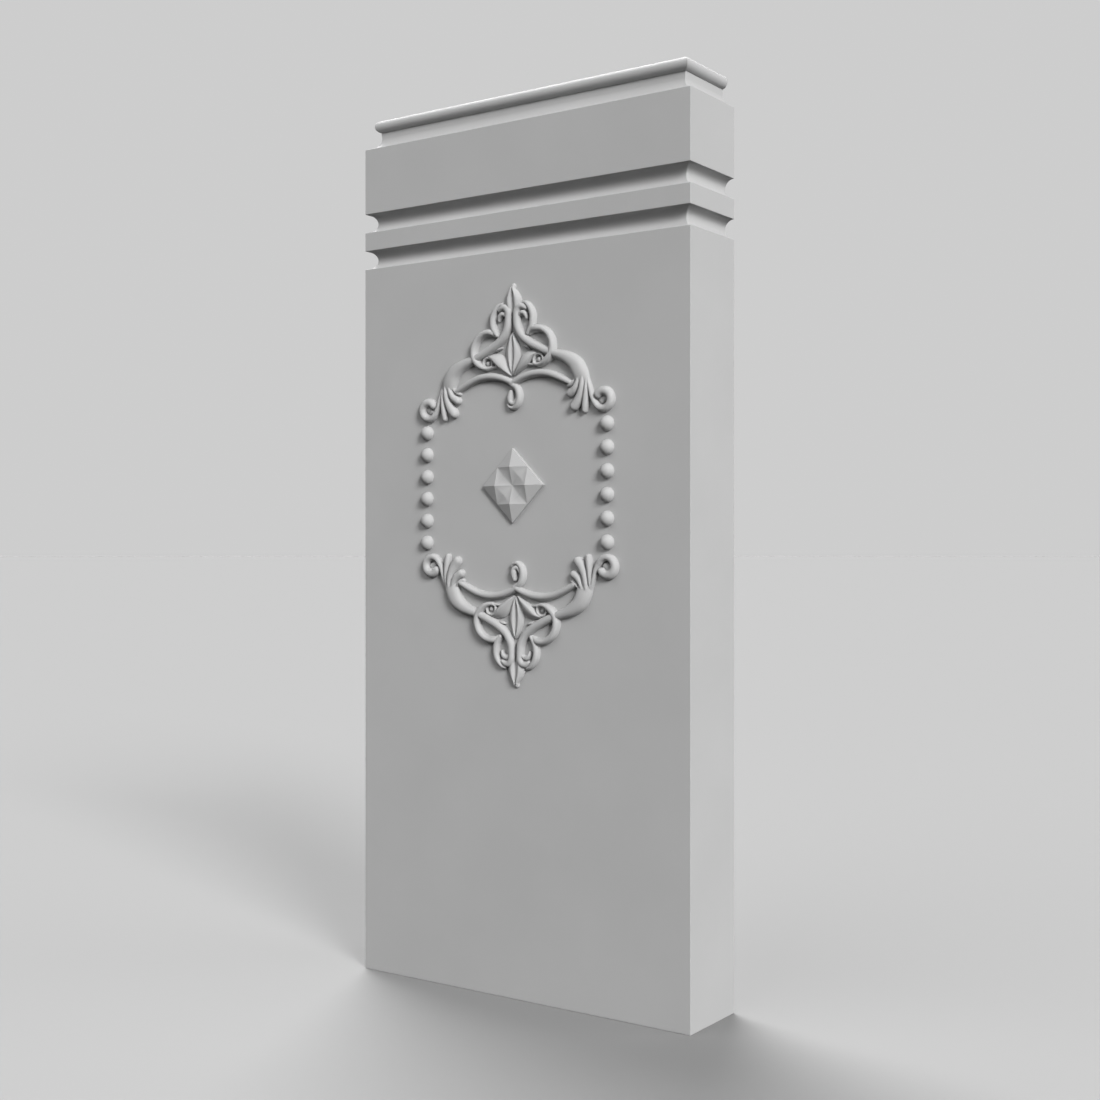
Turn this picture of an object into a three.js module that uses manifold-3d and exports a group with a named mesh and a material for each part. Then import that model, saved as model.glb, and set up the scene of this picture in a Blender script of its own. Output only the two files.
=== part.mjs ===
// A pilaster block: a flat board with a moulded cap, two round grooves and a carved panel ornament.
// Millimetres, +Z up. The front faces -Y, the flat back faces +Y, and the underside is at z = 0.
import * as THREE from "three";
import { mergeVertices } from "three/addons/utils/BufferGeometryUtils.js";
import Module from "manifold-3d";

const wasm = await Module();
wasm.setup();

// Driving dimensions of the board
const WIDTH = 142.4;
const DEPTH = 30;
const MODULE = 7; // width of a groove, and of the band between the two grooves
const GROOVE_TOP = 287.5; // upper edge of the upper groove
const FACE_TOP = 312.2; // where the plain face ends and the cap's cove begins
const COVE_RADIUS = 4.5;
const FILLET_TOP = 318.9;
const FILLET_LEAN = 0.2; // how far the fillet above the cove leans back out
const NOSE_RADIUS = 2.3;
const NOSE_INSET = 4.8; // from the plain face back to the centre of the rounded nose
const ARC_STEPS = 8; // facets of each round moulding

// Driving dimensions of the ornament
const MIDDLE = 182.45; // height of the middle of the ornament
const OFFSET = 0.75; // the upper crest, beads and diamond sit this far left, the lower crest as far right
const WIDEST_RISE = 3.5; // the height that a very wide rib would reach
const HALF_RISE_WIDTH = 1.8; // the width of a rib that rises half as high
const BURY = 0.8; // how far each carved form runs into the board
const BEAD_RADIUS = 2.7;
const BEAD_PITCH = 8.1;
const BEADS_PER_SIDE = 6;
const BEAD_COLUMN = 39.5; // from the axis to each column of beads
const TIP_RADIUS = 1.05; // the ball on the tip of each bud
const VOLUTE_CENTRE = [38.3, 28.65];
const SCROLL_CENTRE = [11.2, 44.0];
const SCROLL_EYE = 1; // radius of the ball at the heart of a scroll
const DIAMOND_HALF = 13.2; // half of the diamond's diagonal
const DIAMOND_STEP = 1.1; // height of its square edge
const DIAMOND_RISE = 1.75; // height of each small pyramid above that edge

const FRONT = -DEPTH / 2;

// The outline of the board from underside to top, as [height, inset from the plain face].
function boardOutline() {
  const halfRound = (foot, radius, inset, bulge) => {
    for (let k = 0; k <= ARC_STEPS; k++) {
      const angle = Math.PI * (k / ARC_STEPS);
      outline.push([foot + radius * (1 - Math.cos(angle)), inset + bulge * radius * Math.sin(angle)]);
    }
  };
  const outline = [[0, 0]];
  halfRound(GROOVE_TOP - 3 * MODULE, MODULE / 2, 0, 1);
  halfRound(GROOVE_TOP - MODULE, MODULE / 2, 0, 1);
  for (let k = 0; k <= ARC_STEPS; k++) {
    const angle = (Math.PI / 2) * (k / ARC_STEPS);
    outline.push([FACE_TOP + COVE_RADIUS * (1 - Math.cos(angle)), COVE_RADIUS * Math.sin(angle)]);
  }
  outline.push([FILLET_TOP, COVE_RADIUS - FILLET_LEAN]);
  halfRound(FILLET_TOP, NOSE_RADIUS, NOSE_INSET, -1);
  return outline;
}

// A box whose rows of corners are moved to that outline at the front and both sides. The mouldings meet in
// mitres at the two front corners and run straight out at the flat back.
function boardGeometry() {
  const outline = boardOutline();
  const rows = outline.length - 1;
  const box = new THREE.BoxGeometry(WIDTH, DEPTH, rows, 1, 1, rows);
  const corners = box.getAttribute("position");
  for (let k = 0; k < corners.count; k++) {
    const [height, inset] = outline[Math.round(corners.getZ(k) + rows / 2)];
    const x = corners.getX(k);
    const y = corners.getY(k);
    corners.setXYZ(k, x - Math.sign(x) * inset, y < 0 ? y + inset : y, height);
  }
  return box;
}

// A closed solid from a geometry, with its faces turned out.
function solidOf(geometry) {
  const bare = new THREE.BufferGeometry();
  bare.setAttribute("position", geometry.getAttribute("position"));
  bare.setIndex(geometry.getIndex());
  const merged = mergeVertices(bare, 1e-4);
  const make = (triVerts) =>
    new wasm.Manifold(
      new wasm.Mesh({
        numProp: 3,
        vertProperties: new Float32Array(merged.getAttribute("position").array),
        triVerts,
      }),
    );
  const faces = new Uint32Array(merged.getIndex().array);
  const solid = make(faces);
  return solid.volume() > 0 ? solid : make(faces.reverse());
}

// Where a form sits: which crest, which half of it, and how far that crest is off the centre line.
const UPPER_RIGHT = { side: 1, up: 1, shift: -OFFSET };
const UPPER_LEFT = { side: -1, up: 1, shift: -OFFSET };
const LOWER_RIGHT = { side: 1, up: -1, shift: OFFSET };
const LOWER_LEFT = { side: -1, up: -1, shift: OFFSET };

// A point of the ornament, out from its axis, away from its middle and proud of the face.
function onBoard({ side, up, shift }, across, away, proud) {
  return [shift + side * across, FRONT - proud, MIDDLE + up * away];
}

// Cross-sections of the carved ribs, as [share of half the width, share of the rise]: a round with full
// shoulders, and a leaf folded down its middle.
const SHOULDER = 2.3;
const ROUND = [180, 135, 90, 45, 0].map((degrees) => {
  const angle = THREE.MathUtils.degToRad(degrees);
  const across = Math.abs(Math.cos(angle)) ** (2 / SHOULDER);
  return [Math.sign(90 - degrees) * across, Math.sin(angle) ** (2 / SHOULDER)];
});
const FOLDED = [
  [-1, 0.3],
  [-0.75, 0.7],
  [-0.43, 1],
  [0, 0.42],
  [0.43, 1],
  [0.75, 0.7],
  [1, 0.3],
];

// A smooth line through points given as [out from the axis, away from the middle, width, share of the rise].
// The last value may be left out where the rise follows from the width alone.
function smooth(points, steps) {
  const places = new THREE.SplineCurve(points.map(([u, v]) => new THREE.Vector2(u, v)));
  const sizes = new THREE.SplineCurve(points.map(([, , width, lift = 1]) => new THREE.Vector2(width, lift)));
  const line = [];
  for (let k = 0; k <= steps; k++) {
    const place = places.getPoint(k / steps);
    const size = sizes.getPoint(k / steps);
    line.push([place.x, place.y, size.x, size.y]);
  }
  return line;
}

// A spiral about a centre, from its first radius and width to its last, as points of the same kind.
function spiral({ centre, radii, widths, start, turns }, steps) {
  const line = [];
  for (let k = 0; k <= steps; k++) {
    const share = k / steps;
    const angle = THREE.MathUtils.degToRad(start + 360 * turns * share);
    const radius = THREE.MathUtils.lerp(radii[0], radii[1], share);
    const width = THREE.MathUtils.lerp(widths[0], widths[1], share);
    line.push([centre[0] + radius * Math.cos(angle), centre[1] + radius * Math.sin(angle), width, 1]);
  }
  return line;
}

// A line with a blunt tip added to each end, on a quarter circle across its width.
const TIP_ANGLE = THREE.MathUtils.degToRad(60);
function withRoundEnds(line) {
  const tip = (end, before) => {
    const length = Math.hypot(end[0] - before[0], end[1] - before[1]);
    const ahead = ((end[2] / 2) * Math.sin(TIP_ANGLE)) / length;
    const u = end[0] + ahead * (end[0] - before[0]);
    const v = end[1] + ahead * (end[1] - before[1]);
    return [u, v, end[2] * Math.cos(TIP_ANGLE), end[3]];
  };
  return [tip(line[0], line[1]), ...line, tip(line[line.length - 1], line[line.length - 2])];
}

// A carved rib: a cross-section swept along a line on the face and buried a little way in it.
function rib(spot, line, section = ROUND) {
  const path = withRoundEnds(line);
  const positions = [];
  path.forEach(([u, v, width, lift], k) => {
    const before = path[Math.max(k - 1, 0)];
    const after = path[Math.min(k + 1, path.length - 1)];
    const length = Math.hypot(after[0] - before[0], after[1] - before[1]);
    const acrossU = (after[1] - before[1]) / length;
    const acrossV = -(after[0] - before[0]) / length;
    const rise = (lift * WIDEST_RISE * width) / (width + HALF_RISE_WIDTH);
    const surface = section.map(([share, high]) => [share, high * rise]);
    [[-1, -BURY], ...surface, [1, -BURY]].forEach(([share, proud]) => {
      const reach = (share * width) / 2;
      positions.push(...onBoard(spot, u + acrossU * reach, v + acrossV * reach, proud));
    });
  });
  const ring = section.length + 2;
  const lastRing = (path.length - 1) * ring;
  const faces = [];
  for (let start = 0; start < lastRing; start += ring) {
    for (let j = 0; j < ring; j++) {
      const here = start + j;
      const next = start + ((j + 1) % ring);
      faces.push(here, next, here + ring, next, next + ring, here + ring);
    }
  }
  for (let j = 1; j < ring - 1; j++) {
    faces.push(0, j + 1, j, lastRing, lastRing + j, lastRing + j + 1);
  }
  const geometry = new THREE.BufferGeometry();
  geometry.setAttribute("position", new THREE.Float32BufferAttribute(positions, 3));
  geometry.setIndex(faces);
  return solidOf(geometry);
}

// A ball whose centre lies on the face, so that half of it stands proud.
function ball(spot, across, away, radius) {
  const sphere = new THREE.SphereGeometry(radius, 8, 6);
  return solidOf(sphere.translate(...onBoard(spot, across, away, 0)));
}

// The ribs of half a crest, out from its axis.
function halfCrest(spot) {
  const stem = [
    [1.8, 61.0, 2.9], [1.85, 58.6, 3.0], [2.3, 55.9, 3.1], [4.2, 52.8, 3.1],
    [7.7, 50.1, 3.2], [12.5, 47.7, 3.2], [17.0, 45.9, 3.2],
  ];
  const lobe = [[1.75, 60.4, 2.9], [1.95, 62.0, 3.0], [3.0, 63.2, 2.8], [4.4, 63.3, 2.5], [5.7, 62.6, 1.8]];
  const hood = [
    [4.8, 64.7, 1.2], [6.1, 64.2, 1.7], [7.4, 62.9, 2.2], [8.5, 60.9, 2.5],
    [8.8, 58.6, 2.6], [8.3, 55.9, 2.5], [6.8, 53.7, 1.9],
  ];
  const hook = [[2.7, 60.2, 1.5], [3.7, 61.0, 1.9], [4.8, 61.0, 2.1], [5.7, 60.2, 1.8], [6.1, 59.0, 1.2]];
  const ear = [
    [7.4, 53.8, 2.0, 0.8], [9.7, 55.0, 2.6, 1.15], [13.0, 54.6, 2.6, 1.15], [15.9, 52.5, 2.7, 1.15],
    [17.25, 49.4, 2.75, 1.15], [17.0, 46.3, 2.8, 1.15], [15.2, 43.9, 2.7, 1.15],
    [12.8, 42.5, 2.0, 1.15], [10.7, 42.2, 1.6, 1.05], [9.2, 42.8, 1.2, 1.05],
  ];
  const scroll = { centre: SCROLL_CENTRE, radii: [2.15, 1.9], widths: [1.1, 1.0], start: 212, turns: -0.75 };
  const arm = [
    [17.0, 45.9, 3.0, 1], [20.7, 44.8, 3.8, 1], [24.0, 43.4, 4.8, 1], [26.9, 41.2, 5.9, 0.95],
    [28.5, 38.4, 6.3, 0.88], [29.4, 35.5, 6.2, 0.68], [30.1, 32.8, 5.4, 0.35],
  ];
  const tail = [
    [31.8, 36.4, 1.0], [32.4, 34.2, 1.5], [33.1, 32.0, 1.8], [33.9, 29.4, 2.0], [35.2, 27.0, 2.2],
  ];
  const volute = { centre: VOLUTE_CENTRE, radii: [3.45, 3.2], widths: [2.2, 2.2], start: 205, turns: 0.62 };
  const turnIn = { centre: VOLUTE_CENTRE, radii: [3.2, 2.2], widths: [2.2, 2.0], start: 68, turns: 0.36 };
  const husks = [
    [
      [31.6, 36.0, 1.0, 1.2], [31.55, 33.6, 1.5, 1.25], [31.4, 30.6, 2.1, 1.15],
      [31.0, 27.2, 2.5], [30.7, 25.2, 2.1],
    ],
    [
      [30.1, 37.0, 1.8, 1.15], [29.95, 34.4, 2.3, 1.2], [29.3, 31.4, 2.9, 1.1],
      [28.0, 28.7, 3.5], [26.6, 26.9, 3.6],
    ],
    [[28.6, 37.6, 1.4, 1.2], [28.1, 35.3, 2.0, 1.2], [26.8, 32.8, 2.8, 1.1], [24.9, 31.4, 3.1]],
    [[27.2, 36.6, 1.0, 1.1], [25.9, 35.0, 1.5, 1.1], [24.7, 34.2, 1.7], [24.0, 33.9, 1.5]],
  ];
  const sideLeaf = [
    [0.9, 39.4, 1.0], [3.0, 41.4, 2.8], [4.9, 43.2, 4.0],
    [6.8, 44.9, 3.8], [8.8, 46.2, 2.2], [10.4, 46.5, 1.2],
  ];
  const shoot = [[7.2, 48.4, 0.8], [6.0, 48.8, 1.1], [4.9, 49.1, 0.7]];
  const arc = [
    [-0.4, 36.2, 2.3], [3.8, 38.05, 2.6], [8.0, 39.05, 2.75], [12.0, 39.25, 2.75],
    [16.0, 38.65, 2.7], [20.0, 37.2, 2.6], [24.7, 35.0, 2.2],
  ];
  return [
    rib(spot, smooth(stem, 9)),
    rib(spot, smooth(lobe, 4)),
    rib(spot, smooth(hood, 7)),
    rib(spot, smooth(hook, 4)),
    rib(spot, smooth(ear, 12)),
    rib(spot, spiral(scroll, 5)),
    ball(spot, ...SCROLL_CENTRE, SCROLL_EYE),
    rib(spot, smooth(arm, 7)),
    rib(spot, smooth(tail, 4)),
    rib(spot, spiral(volute, 8)),
    rib(spot, spiral(turnIn, 4)),
    ...husks.map((husk) => rib(spot, smooth(husk, husk.length - 1))),
    rib(spot, smooth(sideLeaf, 6)),
    rib(spot, smooth(shoot, 2)),
    rib(spot, smooth(arc, 8)),
  ];
}

// The forms on the axis of a crest: a bud with a ball tip, a centre leaf and a pendant that curls under.
function crestAxis(spot) {
  const bud = [
    [0, 70.0, 1.9, 0.9], [0, 68.5, 4.5, 0.75], [0, 67.0, 6.4, 0.7],
    [0, 65.2, 7.4, 0.66], [0, 63.0, 6.6, 0.55], [0, 60.8, 4.6, 0.2],
  ];
  const leaf = [
    [0, 54.0, 0.9, 0.8], [0, 51.4, 3.9, 0.66], [0, 47.6, 6.4, 0.6], [0, 43.4, 4.9, 0.62], [0, 39.8, 0.9, 0.8],
  ];
  const pendant = [
    [-0.2, 35.8, 2.0], [1.9, 34.6, 2.5], [2.95, 32.0, 2.7], [2.5, 29.3, 2.4],
    [0.9, 27.7, 1.9], [-0.9, 27.7, 1.5], [-1.9, 28.6, 1.2],
  ];
  const curl = [[2.1, 31.0, 1.6], [0.8, 29.2, 1.8], [-0.7, 29.6, 2.3], [-1.0, 31.2, 2.6], [-0.6, 33.2, 1.8]];
  return [
    rib(spot, smooth(bud, 6), FOLDED),
    ball(spot, 0, 70.8, TIP_RADIUS),
    rib(spot, smooth(leaf, 8), FOLDED),
    rib(spot, smooth(pendant, 9)),
    rib(spot, smooth(curl, 4)),
  ];
}

// The two columns of beads between the volutes.
function beads() {
  const solids = [];
  for (const spot of [UPPER_RIGHT, UPPER_LEFT]) {
    for (let k = 0; k < BEADS_PER_SIDE; k++) {
      const away = (k - (BEADS_PER_SIDE - 1) / 2) * BEAD_PITCH;
      solids.push(ball(spot, BEAD_COLUMN, away, BEAD_RADIUS));
    }
  }
  return solids;
}

// The diamond at the middle: a low square plate on its corner that carries four small pyramids.
function diamond() {
  const plate = new THREE.CylinderGeometry(DIAMOND_HALF, DIAMOND_HALF, DIAMOND_STEP + BURY, 4);
  const middle = onBoard(UPPER_RIGHT, 0, 0, (DIAMOND_STEP - BURY) / 2);
  const solids = [solidOf(plate.translate(...middle))];
  const reach = DIAMOND_HALF / 2;
  for (const [across, away] of [[reach, 0], [-reach, 0], [0, reach], [0, -reach]]) {
    const pyramid = new THREE.ConeGeometry(reach, DIAMOND_RISE, 4).rotateX(Math.PI);
    const place = onBoard(UPPER_RIGHT, across, away, DIAMOND_STEP + DIAMOND_RISE / 2);
    solids.push(solidOf(pyramid.translate(...place)));
  }
  return solids;
}

const carving = [
  ...[UPPER_RIGHT, UPPER_LEFT, LOWER_RIGHT, LOWER_LEFT].flatMap(halfCrest),
  ...[UPPER_RIGHT, LOWER_RIGHT].flatMap(crestAxis),
  ...beads(),
  ...diamond(),
];

// The carving is part of the board, so all of it is joined into one body.
const joined = carving.reduce((whole, form) => whole.add(form), solidOf(boardGeometry())).getMesh();
const geometry = new THREE.BufferGeometry();
geometry.setAttribute("position", new THREE.BufferAttribute(joined.vertProperties, joined.numProp));
geometry.setIndex(new THREE.BufferAttribute(joined.triVerts, 1));

const primer = new THREE.MeshStandardMaterial({ color: 0xa3a3a1, roughness: 0.85, metalness: 0 });
const pilaster = new THREE.Mesh(geometry, primer);
pilaster.name = "pilaster";

const group = new THREE.Group();
group.add(pilaster);

export default group;
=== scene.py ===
import math

import bmesh
import bpy
from mathutils import Matrix, Vector


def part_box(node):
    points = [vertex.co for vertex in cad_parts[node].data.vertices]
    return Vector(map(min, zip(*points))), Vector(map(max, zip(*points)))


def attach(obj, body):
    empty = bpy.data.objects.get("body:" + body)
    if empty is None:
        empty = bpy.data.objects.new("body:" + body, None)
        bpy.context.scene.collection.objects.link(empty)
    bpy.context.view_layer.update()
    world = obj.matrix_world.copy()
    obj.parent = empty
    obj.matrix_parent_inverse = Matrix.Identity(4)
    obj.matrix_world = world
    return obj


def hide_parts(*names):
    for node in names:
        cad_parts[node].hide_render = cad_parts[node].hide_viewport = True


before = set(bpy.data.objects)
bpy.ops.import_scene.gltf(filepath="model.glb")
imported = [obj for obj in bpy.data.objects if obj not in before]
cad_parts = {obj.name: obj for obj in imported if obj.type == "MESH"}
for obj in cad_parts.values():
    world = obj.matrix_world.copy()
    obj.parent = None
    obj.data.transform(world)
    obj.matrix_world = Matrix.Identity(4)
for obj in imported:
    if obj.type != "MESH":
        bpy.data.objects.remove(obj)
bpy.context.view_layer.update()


# The view. The photograph was taken level, from the right of the block and a little below its middle,
# with a 50 mm lens on a 36 mm wide frame. Its place and turn were worked out from the block's edges.
MM = 0.001
VIEW_FROM = Vector((320.87, -452.57, 159.57)) * MM
VIEW_TURN = 0.6103
LENS_MM = 50.0
FRAME_MM = 36.0

camera_data = bpy.data.cameras.new("studio_camera")
camera_data.lens = LENS_MM
camera_data.sensor_width = FRAME_MM
camera_data.sensor_fit = "HORIZONTAL"
camera = bpy.data.objects.new("studio_camera", camera_data)
camera.location = VIEW_FROM
camera.rotation_euler = (math.pi / 2, 0, VIEW_TURN)
bpy.context.scene.collection.objects.link(camera)
bpy.context.scene.camera = camera


# The board. The real block is one flat board, cut square at its ends. Its cove, nose and two round grooves
# are run with round cutters over the front and both edges, so they meet in mitres at the front corners.
block_low, block_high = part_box("pilaster")
WIDTH = (block_high.x - block_low.x) / MM
BACK = block_high.y / MM
FRONT = -BACK
MODULE = 7.0
GROOVE_TOP = 287.5
FACE_TOP = 312.2
COVE_RADIUS = 4.5
FILLET_TOP = 318.9
FILLET_LEAN = 0.2
NOSE_RADIUS = 2.3
NOSE_INSET = 4.8
ROUND_STEPS = 28
ARRIS = 0.22
ARRIS_STEPS = 3
NEARLY_STRAIGHT = 150.0


def board_outline():
    """Underside to top, as (height, inset from the plain face)."""
    outline = [(0.0, 0.0)]

    def half_round(foot, radius, inset, bulge):
        for k in range(ROUND_STEPS + 1):
            angle = math.pi * k / ROUND_STEPS
            outline.append((foot + radius * (1 - math.cos(angle)), inset + bulge * radius * math.sin(angle)))

    for modules_down in (3, 1):
        half_round(GROOVE_TOP - modules_down * MODULE, MODULE / 2, 0, 1)
    for k in range(ROUND_STEPS // 2 + 1):
        angle = math.pi * k / ROUND_STEPS
        outline.append((FACE_TOP + COVE_RADIUS * (1 - math.cos(angle)), COVE_RADIUS * math.sin(angle)))
    outline.append((FILLET_TOP, COVE_RADIUS - FILLET_LEAN))
    half_round(FILLET_TOP, NOSE_RADIUS, NOSE_INSET, -1)
    return outline


def softened(outline):
    """The outline with each sharp arris eased to a small round, as sanding and primer leave it."""
    eased = []
    for k, here in enumerate(outline):
        here = Vector(here)
        before = Vector(outline[k - 1]) if k > 0 else Vector((here.x, here.y + 1))
        after = Vector(outline[k + 1]) if k + 1 < len(outline) else Vector((here.x, here.y + 1))
        back, ahead = before - here, after - here
        if back.angle(ahead) > math.radians(NEARLY_STRAIGHT):
            eased.append(here)
            continue
        reach = min(ARRIS, back.length / 2, ahead.length / 2)
        start, end = here + back.normalized() * reach, here + ahead.normalized() * reach
        for j in range(ARRIS_STEPS + 1):
            t = j / ARRIS_STEPS
            eased.append(start * (1 - t) ** 2 + here * 2 * t * (1 - t) + end * t ** 2)
    return eased


def plan_at(inset):
    """The block's plan at one height, with the two front corners eased and the back left square."""
    half = WIDTH / 2 - inset
    front = FRONT + inset
    corners = [(-half, BACK)]
    for side, start in ((-1, math.pi), (1, 1.5 * math.pi)):
        for j in range(ARRIS_STEPS + 1):
            angle = start + math.pi / 2 * j / ARRIS_STEPS
            across = side * (half - ARRIS) + ARRIS * math.cos(angle)
            corners.append((across, front + ARRIS + ARRIS * math.sin(angle)))
    corners.append((half, BACK))
    return corners


def new_piece(name, mesh):
    piece = bpy.data.objects.new(name, mesh)
    bpy.context.scene.collection.objects.link(piece)
    return piece


def mesh_from(name, points, faces):
    """A mesh in metres from points in millimetres, with its faces turned out."""
    mesh = bpy.data.meshes.new(name)
    mesh.from_pydata([Vector(p) * MM for p in points], [], faces)
    work = bmesh.new()
    work.from_mesh(mesh)
    bmesh.ops.recalc_face_normals(work, faces=work.faces)
    work.to_mesh(mesh)
    work.free()
    return mesh


def rings_mesh(name, rings):
    """A closed mesh through rings with the same number of points, capped at both ends."""
    count = len(rings[0])
    faces = []
    for k in range(len(rings) - 1):
        for j in range(count):
            here, beside = k * count + j, k * count + (j + 1) % count
            faces.append((here, beside, beside + count, here + count))
    faces.append(tuple(range(count)))
    faces.append(tuple(range((len(rings) - 1) * count, len(rings) * count)))
    return mesh_from(name, [p for ring in rings for p in ring], faces)


board_rings = [[(x, y, height) for x, y in plan_at(inset)] for height, inset in softened(board_outline())]
board = new_piece("pilaster_block", rings_mesh("pilaster_block", board_rings))


# The crests. Each is carved in low relief in the same board: ribs of round section that cross and curl,
# folded leaves and fans of husks. The lower one is the upper one turned over and set a little to the right.
MIDDLE = 182.45
OFFSET = 0.75
WIDEST_RISE = 3.5
HALF_RISE_WIDTH = 1.8
EAR_LIFT = 1.15
BURY = 0.6
RIB_STEP = 0.45
FEWEST_STEPS = 6
TRIAL_STEPS = 60
RIB_FACETS = 14
SHOULDER = 2.3
TIP_STEPS = 5
TIP_TURN = 84.0
BALL_SLICES = 28
BALL_STACKS = 16
VOLUTE_CENTRE = (38.3, 28.65)
VOLUTE_FLOOR_LIFT = 0.4
SCROLL_CENTRE = (11.2, 44.0)
SCROLL_EYE = 1.0
BUD_BALL_RADIUS = 1.05
BUD_BALL_AWAY = 70.8
LEAF_FACETS = 14
LEAF_RIDGE = 0.43
LEAF_FOLD = 0.42
LEAF_EDGE = 0.3
LEAF_FALL = 1.5
SLOPE_RIDGE = 0.45
SLOPE_FOOT = 0.15


def full_round():
    """A rib's section, a round with full shoulders, as (share of half the width, share of the rise)."""
    section = []
    for k in range(RIB_FACETS + 1):
        angle = math.pi * k / RIB_FACETS
        across, high = (abs(value) ** (2 / SHOULDER) for value in (math.cos(angle), math.sin(angle)))
        section.append((math.copysign(across, 2 * k - RIB_FACETS), high))
    return section


ROUND = full_round()


def folded(share):
    """Height of a folded leaf across its half width: a soft fold down the middle, falling to a low edge."""
    out = abs(share)
    if out < LEAF_RIDGE:
        climb = out / LEAF_RIDGE
        return LEAF_FOLD + (1 - LEAF_FOLD) * climb * climb * (3 - 2 * climb)
    return 1 - (1 - LEAF_EDGE) * ((out - LEAF_RIDGE) / (1 - LEAF_RIDGE)) ** LEAF_FALL


FOLDED = [(k / LEAF_FACETS, folded(k / LEAF_FACETS)) for k in range(-LEAF_FACETS, LEAF_FACETS + 1)]


def sloping(share):
    """Height of the side leaves, whose ridge lies near the arc and whose back slopes down to the stem."""
    if share < SLOPE_RIDGE:
        return SLOPE_FOOT + (1 - SLOPE_FOOT) * math.sin(math.pi / 2 * (share + 1) / (1 + SLOPE_RIDGE))
    return math.sqrt(max(0.0, 1 - ((share - SLOPE_RIDGE) / (1 - SLOPE_RIDGE)) ** 2))


SLOPING = [(k / LEAF_FACETS, sloping(k / LEAF_FACETS)) for k in range(-LEAF_FACETS, LEAF_FACETS + 1)]


def spline(points, share):
    """The place at a share of the way along a smooth line through points of any number of values each."""
    last = len(points) - 1
    place = min(share, 1.0) * last
    k = min(int(place), last - 1)
    t = place - k
    before, start, end, after = points[max(k - 1, 0)], points[k], points[k + 1], points[min(k + 2, last)]
    values = []
    for previous, here, ahead, later in zip(before, start, end, after):
        leaving, arriving = (ahead - previous) / 2, (later - here) / 2
        cubed = 2 * here - 2 * ahead + leaving + arriving
        squared = 3 * ahead - 3 * here - 2 * leaving - arriving
        values.append(cubed * t ** 3 + squared * t ** 2 + leaving * t + here)
    return values


def smooth(points):
    """A line in fine steps through points of [out from the axis, away from the middle, width].

    A fourth value, where the points have one, is a share of the rise that goes with the width.
    """
    trial = [spline(points, k / TRIAL_STEPS) for k in range(TRIAL_STEPS + 1)]
    length = sum(math.dist(a[:2], b[:2]) for a, b in zip(trial, trial[1:]))
    steps = max(FEWEST_STEPS, round(length / RIB_STEP))
    return [spline(points, k / steps) for k in range(steps + 1)]


def spiral(centre, radii, widths, start, turns):
    """A line of the same kind around a centre, from its first radius and width to its last."""
    steps = round(abs(turns) * math.pi * (radii[0] + radii[1]) / RIB_STEP)
    line = []
    for k in range(steps + 1):
        share = k / steps
        angle = math.radians(start + 360 * turns * share)
        radius = radii[0] + (radii[1] - radii[0]) * share
        width = widths[0] + (widths[1] - widths[0]) * share
        line.append([centre[0] + radius * math.cos(angle), centre[1] + radius * math.sin(angle), width])
    return line


def with_round_ends(line):
    """The line with a blunt round tip added at each end."""

    def tip(end, before):
        length = math.dist(end[:2], before[:2])
        rings = []
        for k in range(1, TIP_STEPS + 1):
            angle = math.radians(TIP_TURN * k / TIP_STEPS)
            ahead = end[2] / 2 * math.sin(angle) / length
            place = [end[0] + ahead * (end[0] - before[0]), end[1] + ahead * (end[1] - before[1])]
            rings.append([*place, end[2] * math.cos(angle), *end[3:]])
        return rings

    return tip(line[0], line[1])[::-1] + line + tip(line[-1], line[-2])


def rib(line, section=ROUND, lift=1.0):
    """A carved rib on the face plane, around x = z = 0: across is x, away from the middle is z."""
    path = with_round_ends(line)
    rings = []
    for k, (u, v, width, *rise_share) in enumerate(path):
        before, after = path[max(k - 1, 0)], path[min(k + 1, len(path) - 1)]
        along = Vector((after[0] - before[0], after[1] - before[1])).normalized()
        rise = lift * (rise_share or [1])[0] * WIDEST_RISE * width / (width + HALF_RISE_WIDTH)
        corners = [(-1, -BURY)] + [(across, high * rise) for across, high in section] + [(1, -BURY)]
        ring = []
        for across, proud in corners:
            ring.append((u + along.y * across * width / 2, -proud, v - along.x * across * width / 2))
        rings.append(ring)
    return new_piece("rib", rings_mesh("rib", rings))


def ball(across, away, radius):
    """A ball with its middle on the face plane, so that half of it stands proud."""
    mesh = bpy.data.meshes.new("ball")
    work = bmesh.new()
    bmesh.ops.create_uvsphere(work, u_segments=BALL_SLICES, v_segments=BALL_STACKS, radius=radius * MM)
    bmesh.ops.rotate(work, matrix=Matrix.Rotation(math.pi / 2, 3, "X"), verts=work.verts)
    bmesh.ops.translate(work, vec=Vector((across, 0, away)) * MM, verts=work.verts)
    work.to_mesh(mesh)
    work.free()
    return new_piece("ball", mesh)


def fused(first, others):
    """The first piece with all the others joined into one closed surface with it."""
    for other in others:
        joint = first.modifiers.new("join", "BOOLEAN")
        joint.operation = "UNION"
        joint.solver = "MANIFOLD"
        joint.object = other
    bpy.context.view_layer.update()
    whole = bpy.data.meshes.new_from_object(first.evaluated_get(bpy.context.evaluated_depsgraph_get()))
    first.modifiers.clear()
    first.data = whole
    for other in others:
        bpy.data.objects.remove(other)
    return first


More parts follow.
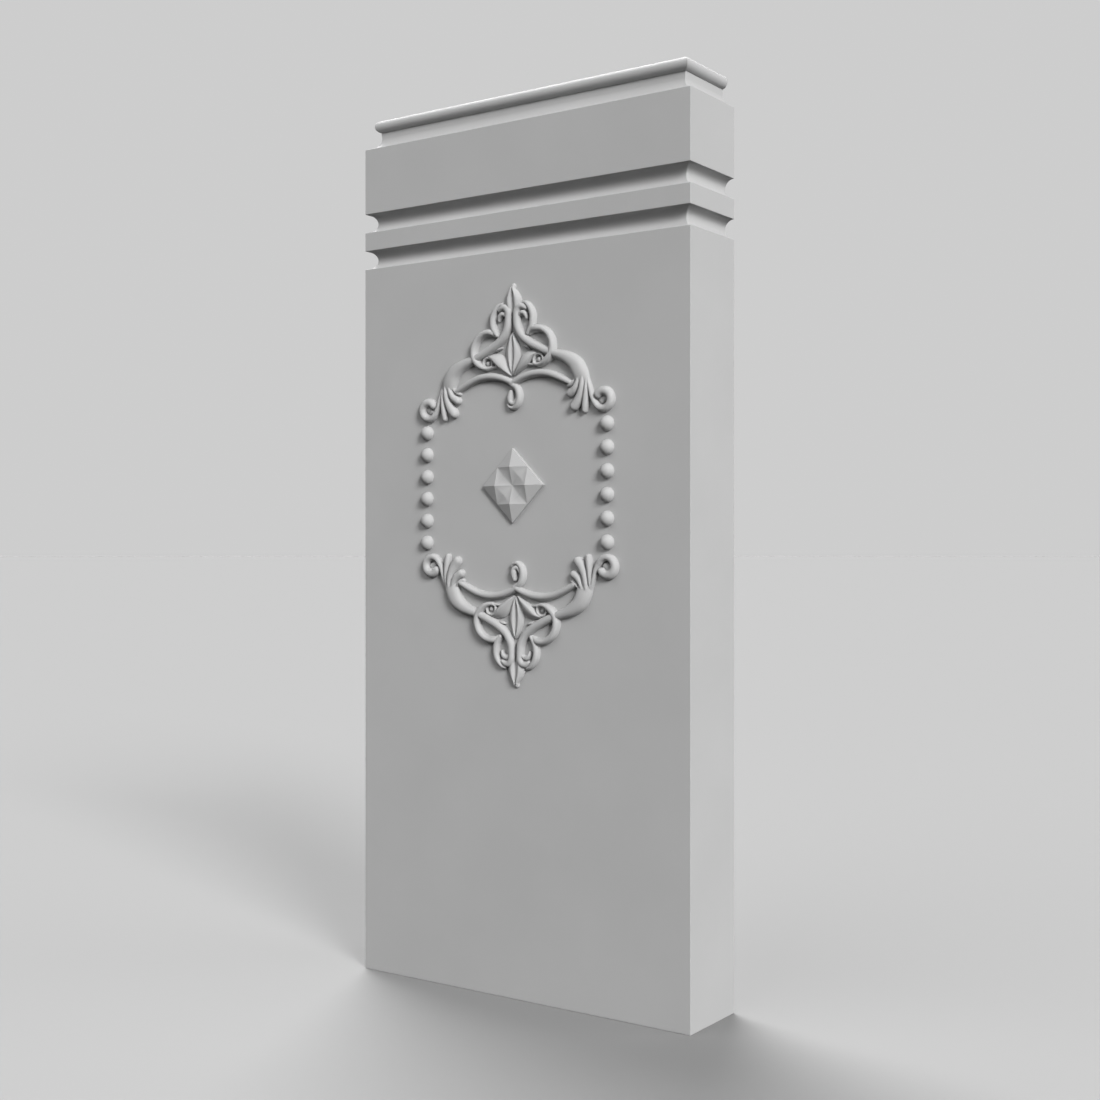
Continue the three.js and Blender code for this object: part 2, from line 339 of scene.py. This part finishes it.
def half_crest():
    """The right half of the upper crest, without what stands on its axis."""
    stem = [
        [1.8, 61.0, 2.9], [1.85, 58.6, 3.0], [2.3, 55.9, 3.1],
        [4.2, 52.8, 3.1], [7.7, 50.1, 3.2], [12.5, 47.7, 3.2], [17.0, 45.9, 3.2],
    ]
    lobe = [[1.75, 60.4, 2.9], [1.95, 62.0, 3.0], [3.0, 63.2, 2.8], [4.4, 63.3, 2.5], [5.7, 62.6, 1.8]]
    hood = [
        [4.8, 64.7, 1.2], [6.1, 64.2, 1.7], [7.4, 62.9, 2.2],
        [8.5, 60.9, 2.5], [8.8, 58.6, 2.6], [8.3, 55.9, 2.5], [6.8, 53.7, 1.9],
    ]
    hook = [[2.7, 60.2, 1.5], [3.7, 61.0, 1.9], [4.8, 61.0, 2.1], [5.7, 60.2, 1.8], [6.1, 59.0, 1.2]]
    ear = [
        [7.4, 53.8, 2.0, 0.7], [9.7, 55.0, 2.6, 1], [13.0, 54.6, 2.6, 1], [15.9, 52.5, 2.7, 1],
        [17.25, 49.4, 2.75, 1], [17.0, 46.3, 2.8, 1], [15.2, 43.9, 2.7, 1], [12.8, 42.5, 2.0, 1],
        [10.7, 42.2, 1.6, 0.9], [9.2, 42.8, 1.2, 0.9],
    ]
    arm = [
        [17.0, 45.9, 3.0, 1], [20.7, 44.8, 3.8, 1], [24.0, 43.4, 4.8, 1], [26.9, 41.2, 5.9, 0.95],
        [28.5, 38.4, 6.3, 0.88], [29.4, 35.5, 6.2, 0.68], [30.1, 32.8, 5.4, 0.35],
    ]
    tail = [[31.8, 36.4, 1.0], [32.4, 34.2, 1.5], [33.1, 32.0, 1.8], [33.9, 29.4, 2.0], [35.2, 27.0, 2.2]]
    husks = [
        [
            [31.6, 36.0, 1.0, 1.2], [31.55, 33.6, 1.5, 1.25], [31.4, 30.6, 2.1, 1.15],
            [31.0, 27.2, 2.5, 1.05], [30.7, 25.2, 2.1, 1],
        ],
        [
            [30.1, 37.0, 1.8, 1.15], [29.95, 34.4, 2.3, 1.2], [29.3, 31.4, 2.9, 1.1],
            [28.0, 28.7, 3.5, 1], [26.6, 26.9, 3.6, 1],
        ],
        [[28.6, 37.6, 1.4, 1.2], [28.1, 35.3, 2.0, 1.2], [26.8, 32.8, 2.8, 1.1], [24.9, 31.4, 3.1, 1]],
        [[27.2, 36.6, 1.0, 1.1], [25.9, 35.0, 1.5, 1.1], [24.7, 34.2, 1.7, 1], [24.0, 33.9, 1.5, 0.9]],
    ]
    side_leaf = [
        [0.9, 39.5, 1.0], [2.9, 41.7, 3.0], [4.8, 43.7, 4.5],
        [6.7, 45.2, 4.2], [8.8, 46.2, 2.3], [10.4, 46.5, 1.2],
    ]
    under_strand = [[11.0, 42.2, 1.3], [8.8, 42.4, 1.1], [6.6, 42.6, 0.9], [4.8, 42.2, 0.6]]
    shoot = [[7.2, 48.4, 0.8], [6.0, 48.8, 1.1], [4.9, 49.1, 0.7]]
    arc = [
        [-0.4, 36.2, 2.3], [3.8, 38.05, 2.6], [8.0, 39.05, 2.75], [12.0, 39.25, 2.75],
        [16.0, 38.65, 2.7], [20.0, 37.2, 2.6], [24.7, 35.0, 2.2],
    ]
    scroll = spiral(SCROLL_CENTRE, radii=(2.15, 1.9), widths=(1.1, 1.0), start=212, turns=-0.75)
    volute = spiral(VOLUTE_CENTRE, radii=(3.4, 2.8), widths=(2.3, 3.4), start=205, turns=0.62)
    volute_end = spiral(VOLUTE_CENTRE, radii=(2.8, 2.65), widths=(3.4, 3.1), start=425, turns=0.21)
    volute_floor = [[37.6, 28.4, 2.6], [38.6, 28.9, 2.6]]
    forms = [rib(smooth(line)) for line in [lobe, hood, hook, arm, tail, *husks, under_strand, shoot, arc]]
    forms.append(rib(smooth(side_leaf), SLOPING))
    forms.append(rib(smooth(ear), lift=EAR_LIFT))
    forms.append(rib(scroll))
    forms.append(ball(*SCROLL_CENTRE, SCROLL_EYE))
    forms += [rib(volute), rib(volute_end), rib(volute_floor, lift=VOLUTE_FLOOR_LIFT)]
    return fused(rib(smooth(stem)), forms)


def crest_axis():
    """What stands on the axis of the upper crest: a bud with a ball tip, a leaf and a pendant that curls."""
    bud = [
        [0, 70.0, 1.9, 0.9], [0, 68.5, 4.5, 0.75], [0, 67.0, 6.4, 0.7],
        [0, 65.2, 7.4, 0.66], [0, 63.0, 6.6, 0.55], [0, 60.8, 4.6, 0.2],
    ]
    leaf = [
        [0, 54.0, 0.9, 0.8], [0, 51.4, 3.9, 0.66], [0, 47.6, 6.4, 0.6],
        [0, 43.4, 4.9, 0.62], [0, 39.8, 0.9, 0.8],
    ]
    pendant = [
        [-0.2, 35.8, 2.0], [1.9, 34.6, 2.5], [2.95, 32.0, 2.7], [2.5, 29.3, 2.4],
        [0.9, 27.7, 1.9], [-0.9, 27.7, 1.5], [-1.9, 28.6, 1.2],
    ]
    curl = [[2.1, 31.0, 1.6], [0.8, 29.2, 1.8], [-0.7, 29.6, 2.3], [-1.0, 31.2, 2.6], [-0.6, 33.2, 1.8]]
    ribs = [rib(smooth(leaf), FOLDED), rib(smooth(pendant)), rib(smooth(curl))]
    return fused(rib(smooth(bud), FOLDED), [ball(0, BUD_BALL_AWAY, BUD_BALL_RADIUS), *ribs])


def placed(pattern, side, up, shift):
    """A copy of a pattern set on the board's front, mirrored left to right or top to bottom as asked."""
    mesh = pattern.data.copy()
    onto_front = Matrix.Translation(Vector((shift, FRONT, MIDDLE)) * MM)
    mesh.transform(onto_front @ Matrix.Diagonal((side, 1, up, 1)))
    if side * up < 0:
        mesh.flip_normals()
    return new_piece("placed", mesh)


half_pattern = half_crest()
axis_pattern = crest_axis()
carving = []
for up, shift in ((1, -OFFSET), (-1, OFFSET)):
    for side in (1, -1):
        carving.append(placed(half_pattern, side, up, shift))
    carving.append(placed(axis_pattern, 1, up, shift))
bpy.data.objects.remove(half_pattern)
bpy.data.objects.remove(axis_pattern)


# The beads. Two columns of six half balls, cut or pressed in one with the board, join the volutes
# of the upper crest to those of the lower one.
BEAD_RADIUS = 2.7
BEAD_PITCH = 8.1
BEADS_PER_SIDE = 6
BEAD_COLUMN = 39.5

for k in range(BEADS_PER_SIDE):
    height = (k - (BEADS_PER_SIDE - 1) / 2) * BEAD_PITCH
    bead = ball(BEAD_COLUMN, height, BEAD_RADIUS)
    carving += [placed(bead, side, 1, -OFFSET) for side in (1, -1)]
    bpy.data.objects.remove(bead)


# The diamond. A low square plate set on its corner at the middle of the ornament, cut into four small
# pyramids. Ridges and outer edges are left crisp, and the flanks between the pyramids are a little hollowed.
DIAMOND_HALF = 13.2
DIAMOND_STEP = 1.1
DIAMOND_RISE = 1.75
DIAMOND_SCOOP = 0.75
QUARTER_CELLS = 12
DIAMOND_CREASE = 15.0

half_edge = DIAMOND_HALF / math.sqrt(2)
cells = 4 * QUARTER_CELLS
stops = [half_edge * (2 * k / cells - 1) for k in range(cells + 1)]


def diamond_height(p, q):
    """Height above the face at a place given along the plate's two edges, from its middle."""
    near, far = sorted((abs(p), abs(q)))
    flank = min(far, half_edge - far)
    if near < flank:
        reach = near + DIAMOND_SCOOP * (flank - near) ** 2 / (2 * flank)
    else:
        reach = flank
    return DIAMOND_STEP + DIAMOND_RISE * reach / (half_edge / 2)


def on_corner(p, q, proud):
    """The same place on the block's front, with the plate turned to stand on its corner."""
    return ((p - q) / math.sqrt(2), -proud, (p + q) / math.sqrt(2))


crown = [on_corner(p, q, diamond_height(p, q)) for p in stops for q in stops]
crown_faces = []
for i in range(cells):
    for j in range(cells):
        a, b = i * (cells + 1) + j, (i + 1) * (cells + 1) + j
        across, along = stops[i] + stops[i + 1], stops[j] + stops[j + 1]
        same_half = (abs(across) < half_edge) == (abs(along) < half_edge)
        if same_half == (across * along > 0):
            crown_faces += [(a, b, b + 1), (a, b + 1, a + 1)]
        else:
            crown_faces += [(a, b, a + 1), (b, b + 1, a + 1)]
rim = [k * (cells + 1) for k in range(cells)]
rim += [cells * (cells + 1) + k for k in range(cells)]
rim += [(cells - k) * (cells + 1) + cells for k in range(cells)]
rim += [cells - k for k in range(cells)]
foot = [(crown[k][0], BURY, crown[k][2]) for k in rim]
foot_start = len(crown)
for k in range(len(rim)):
    beside = (k + 1) % len(rim)
    crown_faces.append((rim[k], rim[beside], foot_start + beside, foot_start + k))
crown_faces.append(tuple(range(foot_start, foot_start + len(rim))))
diamond = new_piece("diamond", mesh_from("diamond", crown + foot, crown_faces))
carving.append(placed(diamond, 1, 1, -OFFSET))
bpy.data.objects.remove(diamond)

block = fused(board, carving)


# The finish. The whole block is sealed and sprayed with a matte pale grey primer, which lies even and dull,
# with a faint orange peel and a trace of unevenness where it was rubbed down.
PRIMER = (0.415, 0.415, 0.415)
PRIMER_DEEP = (0.4, 0.4, 0.4)
PRIMER_ROUGHNESS = 0.72
PRIMER_SHINE = 0.35
RUBBED_SCALE = 28
RUBBED_DETAIL = 4
RUBBED_FROM = 0.35
RUBBED_TO = 0.65
PEEL_SCALE = 900
PEEL_DETAIL = 2
PEEL_STRENGTH = 0.25
PEEL_DEPTH = 0.03
CREASE = 38.0
FLATS_WEIGHT = 60


def primer_finish():
    finish = bpy.data.materials.new("primed_board")
    finish.use_nodes = True
    nodes, links = finish.node_tree.nodes, finish.node_tree.links
    shader = nodes["Principled BSDF"]
    shader.inputs["Roughness"].default_value = PRIMER_ROUGHNESS
    shader.inputs["Specular IOR Level"].default_value = PRIMER_SHINE
    place = nodes.new("ShaderNodeTexCoord")
    rubbed = nodes.new("ShaderNodeTexNoise")
    rubbed.inputs["Scale"].default_value = RUBBED_SCALE
    rubbed.inputs["Detail"].default_value = RUBBED_DETAIL
    tone = nodes.new("ShaderNodeValToRGB")
    tone.color_ramp.elements[0].position = RUBBED_FROM
    tone.color_ramp.elements[0].color = (*PRIMER_DEEP, 1)
    tone.color_ramp.elements[1].position = RUBBED_TO
    tone.color_ramp.elements[1].color = (*PRIMER, 1)
    peel = nodes.new("ShaderNodeTexNoise")
    peel.inputs["Scale"].default_value = PEEL_SCALE
    peel.inputs["Detail"].default_value = PEEL_DETAIL
    bump = nodes.new("ShaderNodeBump")
    bump.inputs["Strength"].default_value = PEEL_STRENGTH
    bump.inputs["Distance"].default_value = PEEL_DEPTH * MM
    links.new(place.outputs["Object"], rubbed.inputs["Vector"])
    links.new(place.outputs["Object"], peel.inputs["Vector"])
    links.new(rubbed.outputs["Fac"], tone.inputs["Fac"])
    links.new(tone.outputs["Color"], shader.inputs["Base Color"])
    links.new(peel.outputs["Fac"], bump.inputs["Height"])
    links.new(bump.outputs["Normal"], shader.inputs["Normal"])
    return finish


block.data.materials.clear()
block.data.materials.append(primer_finish())
block.data.shade_smooth()
block.data.set_sharp_from_angle(angle=math.radians(CREASE))
edges = bmesh.new()
edges.from_mesh(block.data)
for edge in edges.edges:
    place = (edge.verts[0].co + edge.verts[1].co) / 2 / MM
    in_diamond = abs(place.x + OFFSET) + abs(place.z - MIDDLE) < DIAMOND_HALF + DIAMOND_STEP
    if in_diamond and edge.is_manifold and edge.calc_face_angle() > math.radians(DIAMOND_CREASE):
        edge.smooth = False
edges.to_mesh(block.data)
edges.free()
flats = block.modifiers.new("true_flats", "WEIGHTED_NORMAL")
flats.mode = "FACE_AREA"
flats.weight = FLATS_WEIGHT
flats.keep_sharp = True
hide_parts("pilaster")
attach(block, "root")


# The studio. A wide plain floor, a plain surround of the same tone and five soft lights: the main one on
# the right, a strong one high up behind on the left that skims the face, a weaker one from the front left
# and two weak ones on the right, one low down and one from a little behind.
FLOOR_TONE = 0.26
FLOOR_RADIUS = 40.0
FLOOR_FACETS = 96
SURROUND_SLICES = 64
SURROUND_STACKS = 32
LIGHTS = {
    "main": {"strength": 3.6, "spread": 20.0, "around": 60.0, "above": 28.0},
    "skim": {"strength": 4.95, "spread": 30.0, "around": -130.0, "above": 60.0},
    "fill": {"strength": 1.35, "spread": 60.0, "around": -25.0, "above": 45.0},
    "low": {"strength": 0.8, "spread": 50.0, "around": 68.0, "above": 2.0},
    "edge": {"strength": 0.8, "spread": 40.0, "around": 110.0, "above": 30.0},
}
ROOM_STRENGTH = 0.01

floor_light = ROOM_STRENGTH
for name, light in LIGHTS.items():
    turn, climb = math.radians(light["around"]), math.radians(light["above"])
    lamp_data = bpy.data.lights.new(name, "SUN")
    lamp_data.energy = light["strength"]
    lamp_data.angle = math.radians(light["spread"])
    lamp = bpy.data.objects.new(name, lamp_data)
    toward = Vector((math.sin(turn) * math.cos(climb), -math.cos(turn) * math.cos(climb), math.sin(climb)))
    lamp.rotation_euler = toward.to_track_quat("Z", "Y").to_euler()
    bpy.context.scene.collection.objects.link(lamp)
    floor_light += light["strength"] * math.sin(climb) / math.pi

room = bpy.data.worlds.new("room")
room.use_nodes = True
room.node_tree.nodes["Background"].inputs["Color"].default_value = (1, 1, 1, 1)
room.node_tree.nodes["Background"].inputs["Strength"].default_value = ROOM_STRENGTH
bpy.context.scene.world = room
bpy.context.scene.view_settings.view_transform = "Standard"


def stage_piece(name, mesh, finish):
    """A floor or backdrop that the camera sees but that throws no light back at the block."""
    mesh.materials.append(finish)
    piece = new_piece(name, mesh)
    piece.visible_diffuse = False
    piece.visible_glossy = False
    piece.visible_shadow = False
    return piece


floor_finish = bpy.data.materials.new("floor_finish")
floor_finish.use_nodes = True
floor_shader = floor_finish.node_tree.nodes["Principled BSDF"]
floor_shader.inputs["Base Color"].default_value = (FLOOR_TONE, FLOOR_TONE, FLOOR_TONE, 1)
floor_shader.inputs["Roughness"].default_value = 1.0
floor_shader.inputs["Specular IOR Level"].default_value = 0.0
floor_mesh = bpy.data.meshes.new("floor")
floor_work = bmesh.new()
bmesh.ops.create_circle(floor_work, cap_ends=True, segments=FLOOR_FACETS, radius=FLOOR_RADIUS)
floor_work.to_mesh(floor_mesh)
floor_work.free()
stage_piece("floor", floor_mesh, floor_finish)

surround_finish = bpy.data.materials.new("surround_finish")
surround_finish.use_nodes = True
surround_nodes = surround_finish.node_tree.nodes
surround_nodes.clear()
glow = surround_nodes.new("ShaderNodeEmission")
surface = surround_nodes.new("ShaderNodeOutputMaterial")
surround_finish.node_tree.links.new(glow.outputs["Emission"], surface.inputs["Surface"])
glow.inputs["Strength"].default_value = FLOOR_TONE * floor_light
surround_mesh = bpy.data.meshes.new("surround")
surround_work = bmesh.new()
bmesh.ops.create_uvsphere(
    surround_work, u_segments=SURROUND_SLICES, v_segments=SURROUND_STACKS, radius=FLOOR_RADIUS
)
surround_work.to_mesh(surround_mesh)
surround_work.free()
stage_piece("surround", surround_mesh, surround_finish)
